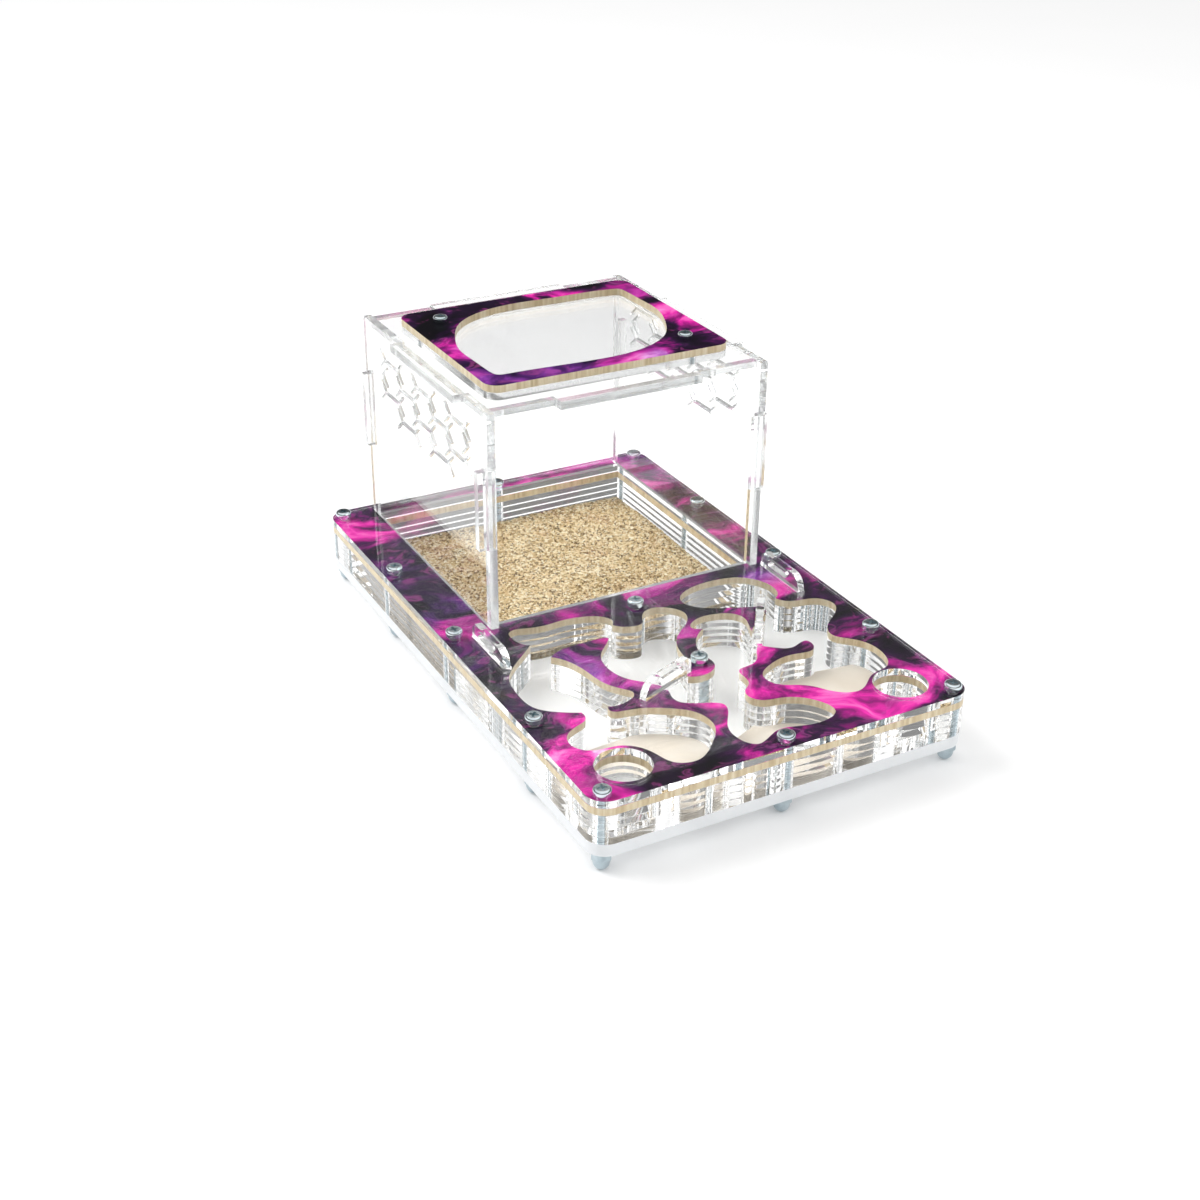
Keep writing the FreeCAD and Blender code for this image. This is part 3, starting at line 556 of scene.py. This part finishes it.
def dress_screws(node):
    """The node's own screws, each driven to its own turn, with a fuller cross in its head; the
    head is painted lit and the cross painted in shade.
    """
    head_height, reach, half_width, depth = HEADS[node]
    chance = random.Random(SEED + 2)
    bm = joined_copy(node, SCREW_JOIN)
    cutter = bmesh.new()
    top = max(vertex.co.z for vertex in bm.verts)
    for group in islands(bm):
        middle = middle_of(group)
        angle = chance.uniform(0.0, math.tau)
        turn = Matrix.Rotation(angle, 3, "Z")
        for vertex in group:
            vertex.co = middle + turn @ (vertex.co - middle)
        add_cross_cutter(cutter, middle, top, angle, reach, half_width, depth)
    mesh = smooth_mesh(bm, node + "_zinc")
    cutter_mesh = bpy.data.meshes.new(node + "_cutter")
    bmesh.ops.recalc_face_normals(cutter, faces=cutter.faces)
    cutter.to_mesh(cutter_mesh)
    cutter.free()
    for material in (MATERIALS[SLOT_OF_NODE[node]], LIT_HEAD_ZINC, SHADED_RECESS_ZINC):
        mesh.materials.append(material)
        cutter_mesh.materials.append(material)
    # Painted light: faces in the head get the paler zinc.
    for polygon in mesh.polygons:
        polygon.material_index = 1 if polygon.center.z > top - head_height else 0
    # Painted shade: the cutter's faces line the cut cross and keep the dark zinc.
    for polygon in cutter_mesh.polygons:
        polygon.material_index = 2
    piece = add_object(node + "_zinc", mesh, node)
    cut_away(piece, cutter_mesh)
    piece.data.set_sharp_from_angle(angle=SHARP_ANGLE)


def dress_plain(node):
    """A node whose own shape is right gets the finished material."""
    shape = frame["nodes"][node]
    shape.data.materials.clear()
    shape.data.materials.append(MATERIALS[SLOT_OF_NODE[node]])
    for polygon in shape.data.polygons:
        polygon.use_smooth = True
    shape.data.set_sharp_from_angle(angle=SHARP_ANGLE)


SAND_CELL = 0.9 * MM
RAGGED_RIM = 0.8 * MM

# The sand's surface: how far it lies under the top of its box, what a slope adds at its high
# end and takes away by its low end, and the height in millimetres and fineness of its noises
SAND_SINK = 1.2 * MM
SLOPE_START = 1.2 * MM
SLOPE_FALL = 1.8 * MM
HEAP_MM, HEAP_FINENESS = 1.1, 28.0
RIPPLE_MM, RIPPLE_FINENESS = 0.35, 160.0
RIPPLE_LAYER = 3.0

GRAIN_COUNT = 15000
GRAIN_LENGTH = (0.45 * MM, 0.85 * MM)
GRAIN_WIDTH = (0.26 * MM, 0.42 * MM)
GRAIN_TILT = 0.35
GRAIN_RISE = 0.4


def sand_height(x, y, low, high):
    """Level of the sand: gentle heaps, lower towards the right and rear walls."""
    across = (x - low.x) / (high.x - low.x)
    along = (y - low.y) / (high.y - low.y)
    slope = SLOPE_START - SLOPE_FALL * max(across, along)
    heaps = noise.noise(Vector((x, y, 0.0)) * HEAP_FINENESS) * HEAP_MM * MM
    ripples = noise.noise(Vector((x, y, RIPPLE_LAYER)) * RIPPLE_FINENESS) * RIPPLE_MM * MM
    return high.z - SAND_SINK + slope + heaps + ripples


def make_sand():
    """The heap: a bumpy top with a ragged rim, upright sides, and loose grains on it."""
    low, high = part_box("sand_bed")
    columns = int((high.x - low.x) / SAND_CELL)
    rows = int((high.y - low.y) / SAND_CELL)
    points = []
    chance = random.Random(SEED + 1)
    for row in range(rows + 1):
        for column in range(columns + 1):
            x = low.x + (high.x - low.x) * column / columns
            y = low.y + (high.y - low.y) * row / rows
            if column in (0, columns):
                x += chance.uniform(0.0, RAGGED_RIM) * (1 if column == 0 else -1)
            if row in (0, rows):
                y += chance.uniform(0.0, RAGGED_RIM) * (1 if row == 0 else -1)
            points.append((x, y, min(sand_height(x, y, low, high), high.z)))
    wide = columns + 1
    faces = []
    for row in range(rows):
        for column in range(columns):
            corner = row * wide + column
            faces.append((corner, corner + 1, corner + 1 + wide, corner + wide))
    rim = list(range(wide))
    rim += [row * wide + columns for row in range(1, rows + 1)]
    rim += [rows * wide + column for column in range(columns - 1, -1, -1)]
    rim += [row * wide for row in range(rows - 1, 0, -1)]
    first = len(points)
    points += [(points[index][0], points[index][1], low.z + SHEET_GAP) for index in rim]
    for step, index in enumerate(rim):
        after = (step + 1) % len(rim)
        faces.append((rim[after], index, first + step, first + after))
    faces.append(tuple(range(first + len(rim) - 1, first - 1, -1)))
    add_grains(points, faces, low, high)
    mesh = bpy.data.meshes.new("sand_heap")
    mesh.from_pydata(points, [], faces)
    mesh.materials.append(MATERIALS["sand"])
    add_object("sand_heap", mesh, "sand_bed")


def grain_template():
    bm = bmesh.new()
    bmesh.ops.create_icosphere(bm, subdivisions=1, radius=1.0)
    points = [vertex.co.copy() for vertex in bm.verts]
    faces = [tuple(vertex.index for vertex in face.verts) for face in bm.faces]
    bm.free()
    return points, faces


def add_grains(points, faces, low, high):
    """Loose coarse grains, each a long ball of its own size, turn and tilt."""
    chance = random.Random(SEED)
    ball_points, ball_faces = grain_template()
    for _ in range(GRAIN_COUNT):
        length = chance.uniform(*GRAIN_LENGTH)
        width = chance.uniform(*GRAIN_WIDTH)
        x = chance.uniform(low.x + length, high.x - length)
        y = chance.uniform(low.y + length, high.y - length)
        z = min(sand_height(x, y, low, high) + width * GRAIN_RISE, high.z - width)
        turn = Matrix.Rotation(chance.uniform(0, math.tau), 3, "Z")
        tilt = Matrix.Rotation(chance.uniform(-GRAIN_TILT, GRAIN_TILT), 3, "Y")
        shape = turn @ tilt @ Matrix.Diagonal((length, width, width))
        first = len(points)
        points.extend(tuple(shape @ point + Vector((x, y, z))) for point in ball_points)
        faces.extend(tuple(first + index for index in face) for face in ball_faces)


# The ridge's steps in a turn, its height, and half its width in shares of its pitch
THREAD_STEPS = 12
THREAD_HEIGHT = 0.14 * MM
THREAD_HALF = 0.42

# Each thread's name, its screws' node, its pitch and its inner radius
THREADS = [("base_screw_threads", "base_screws", 0.7 * MM, 1.99 * MM),
           ("lid_screw_threads", "lid_screws", 0.5 * MM, 1.49 * MM)]


def make_threads(name, node, pitch, radius):
    """A fine helical ridge round the shank of each screw of the node."""
    points = []
    faces = []
    bm = joined_copy(node, SCREW_JOIN)
    for group in islands(bm):
        middle = middle_of(group)
        bottom = min(vertex.co.z for vertex in group) + pitch
        top = max(vertex.co.z for vertex in group) - HEADS[node][0] - pitch
        steps = int((top - bottom) / pitch * THREAD_STEPS)
        first = len(points)
        for step in range(steps + 1):
            angle = math.tau * step / THREAD_STEPS
            level = bottom + pitch * step / THREAD_STEPS
            for rise, out in ((-THREAD_HALF, 0.0), (0.0, THREAD_HEIGHT), (THREAD_HALF, 0.0)):
                distance = radius + out
                points.append((middle.x + distance * math.cos(angle),
                               middle.y + distance * math.sin(angle), level + rise * pitch))
            if step:
                for row in (0, 1):
                    corner = first + 3 * (step - 1) + row
                    faces.append((corner, corner + 3, corner + 4, corner + 1))
    bm.free()
    mesh = bpy.data.meshes.new(name)
    mesh.from_pydata(points, [], faces)
    mesh.materials.append(MATERIALS[SLOT_OF_NODE[node]])
    add_object(name, mesh, body=BODY_OF_NODE[node])


for node in NEST_SHEETS + BOX_SHEETS + GATES:
    dress_sheet(node, MATERIALS["clear_acrylic"])
dress_sheet("base_plate", MATERIALS["milky_acrylic"])
dress_printed("print_panel")
dress_printed("lid_ring")
for node in ("base_nuts", "lid_nuts", "gypsum_front_left", "gypsum_front_middle",
             "gypsum_right"):
    dress_plain(node)
dress_screws("base_screws")
dress_screws("lid_screws")
make_sand()
for thread in THREADS:
    make_threads(*thread)


# Stage, light and camera

FLOOR_HALF = 3.0

# What the floor gives off towards the camera and mirrors, and towards rays through sheets
FLOOR_GLOW = 0.10
SHEET_GLOW = 0.12

# The room's light, and the dark card that light through the sheets shows: the angles where
# its soft edge begins and ends, and its brightness
ROOM_LIGHT = 0.75
CARD_RADIUS = (math.radians(26), math.radians(38))
CARD_LIGHT = 0.22

# The brightness of the room in mirrors, by the sine of the height looked at
MIRROR_BAND = [(0.0, (0.9, 0.9, 0.9)), (0.1, (0.7, 0.7, 0.7)), (0.2, (0.12, 0.12, 0.12)),
               (0.58, (0.12, 0.12, 0.12)), (0.68, (1.0, 1.0, 1.0))]

# Each lamp's name, place, width and power in watts; all of them point at one spot
LAMPS = [("key_softbox", (-0.9, 0.7, 1.3), 0.9, 14.0),
         ("fill_softbox", (0.9, -0.9, 1.2), 1.2, 5.0)]
LAMP_TARGET = (0.0, 0.0, 0.05)

LIGHT_BOUNCES = 64
TRANSPARENT_BOUNCES = 48


def make_floor():
    bm = bmesh.new()
    bmesh.ops.create_grid(bm, x_segments=2, y_segments=2, size=FLOOR_HALF)
    mesh = bpy.data.meshes.new("table_top")
    bm.to_mesh(mesh)
    bm.free()
    mesh.materials.append(make_floor_material())
    floor = link_object("table_top", mesh)


def make_lamp(name, place, width, energy):
    """A square softbox that lights the object but isn't mirrored in it."""
    lamp = bpy.data.lights.new(name, "AREA")
    lamp.shape = "SQUARE"
    lamp.size = width
    lamp.energy = energy
    holder = link_object(name, lamp)
    holder.location = place
    aim = Vector(LAMP_TARGET) - Vector(place)
    holder.rotation_euler = aim.to_track_quat("-Z", "Y").to_euler()
    holder.visible_glossy = False


def make_world():
    """A white room. Mirror images show a dark band above the horizon in it, and light through
    the sheets a soft dark card opposite the camera. The camera itself sees white."""
    world = bpy.data.worlds.new("studio")
    bpy.context.scene.world = world
    world.use_nodes = True
    tree = world.node_tree
    background = tree.nodes["Background"]
    path = tree.nodes.new("ShaderNodeLightPath")
    direction = tree.nodes.new("ShaderNodeTexCoord").outputs["Generated"]
    towards = add_node(tree, "ShaderNodeVectorMath", operation="DOT_PRODUCT")
    towards.inputs[1].default_value = (
        -math.sin(CAMERA_AZIMUTH) * math.cos(CAMERA_ELEVATION),
        math.cos(CAMERA_AZIMUTH) * math.cos(CAMERA_ELEVATION), math.sin(CAMERA_ELEVATION))
    tree.links.new(direction, towards.inputs[0])
    inner, outer = CARD_RADIUS
    card = add_map_range(tree, towards.outputs["Value"], (math.cos(outer), math.cos(inner)),
                         (1.0, CARD_LIGHT))
    height = tree.nodes.new("ShaderNodeSeparateXYZ")
    tree.links.new(direction, height.inputs["Vector"])
    band = add_ramp(tree, height.outputs["Z"], MIRROR_BAND)
    seen = add_mix(tree, path.outputs["Is Camera Ray"], ROOM_LIGHT, 1.0)
    mirrored = add_mix(tree, path.outputs["Is Glossy Ray"], seen, band)
    strength = add_mix(tree, path.outputs["Is Transmission Ray"], mirrored, card)
    background.inputs["Color"].default_value = WHITE
    tree.links.new(strength, background.inputs["Strength"])


def make_camera():
    """The camera looks at the middle of the cover, turned and moved as the photograph asks."""
    away = Vector((math.sin(CAMERA_AZIMUTH) * math.cos(CAMERA_ELEVATION),
                   -math.cos(CAMERA_AZIMUTH) * math.cos(CAMERA_ELEVATION),
                   math.sin(CAMERA_ELEVATION)))
    level_right = (-away).cross(Vector((0, 0, 1))).normalized()
    level_up = level_right.cross(-away)
    right = level_right * math.cos(CAMERA_ROLL) + level_up * math.sin(CAMERA_ROLL)
    up = level_up * math.cos(CAMERA_ROLL) - level_right * math.sin(CAMERA_ROLL)
    place = CAMERA_TARGET + away * CAMERA_DISTANCE + right * CAMERA_RIGHT + up * CAMERA_UP
    data = bpy.data.cameras.new("photo_camera")
    data.lens = CAMERA_LENS
    data.sensor_width = CAMERA_SENSOR
    data.clip_start, data.clip_end = CAMERA_CLIP
    camera = link_object("photo_camera", data)
    turn = Matrix((right, up, away)).transposed().to_4x4()
    camera.matrix_world = Matrix.Translation(place) @ turn
    bpy.context.scene.camera = camera


make_floor()
make_world()
for lamp_settings in LAMPS:
    make_lamp(*lamp_settings)
make_camera()

scene = bpy.context.scene
scene.view_settings.view_transform = "Standard"
scene.cycles.max_bounces = LIGHT_BOUNCES
scene.cycles.transmission_bounces = LIGHT_BOUNCES
scene.cycles.glossy_bounces = LIGHT_BOUNCES
scene.cycles.transparent_max_bounces = TRANSPARENT_BOUNCES
